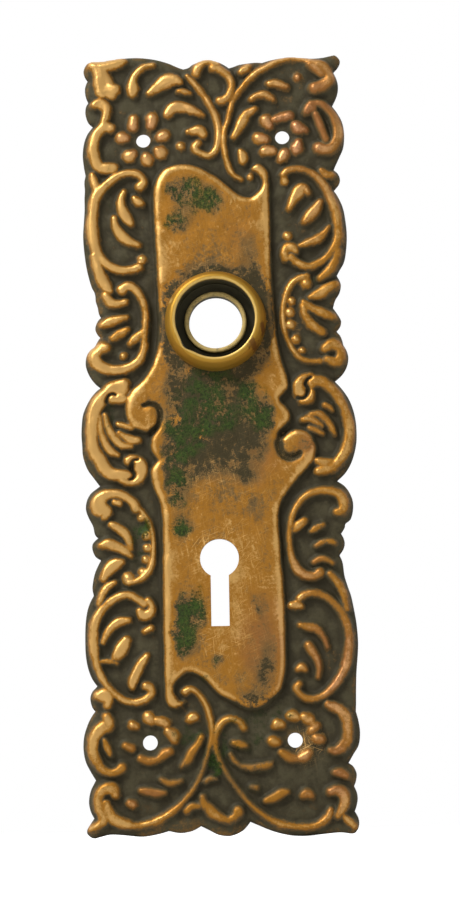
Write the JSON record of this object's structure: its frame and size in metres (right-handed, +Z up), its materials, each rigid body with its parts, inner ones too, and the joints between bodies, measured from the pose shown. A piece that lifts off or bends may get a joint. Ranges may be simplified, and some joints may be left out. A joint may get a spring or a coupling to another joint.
{
  "type": "door backplate",
  "caption": "Long pressed bronze door backplate with a scalloped rim, scrolling leaf relief, a plain raised panel, a round knob collar and a keyhole.",
  "frame": {"origin": "on the knob axis, at the plane of the door that the rim lies against", "axes": "+Z up the length of the plate, front towards -Y, +X to the right of the plate seen from the front"},
  "size_m": [0.0659, 0.0082, 0.1895],
  "materials": {
    "bronze_sheet": "aged, dark in the recesses and rubbed bright on the crests",
    "turned_brass": "aged, worn bright on the lip"
  },
  "bodies": {
    "root": {"plate": "bronze_sheet", "knob_collar": "turned_brass"}
  },
  "joints": []
}
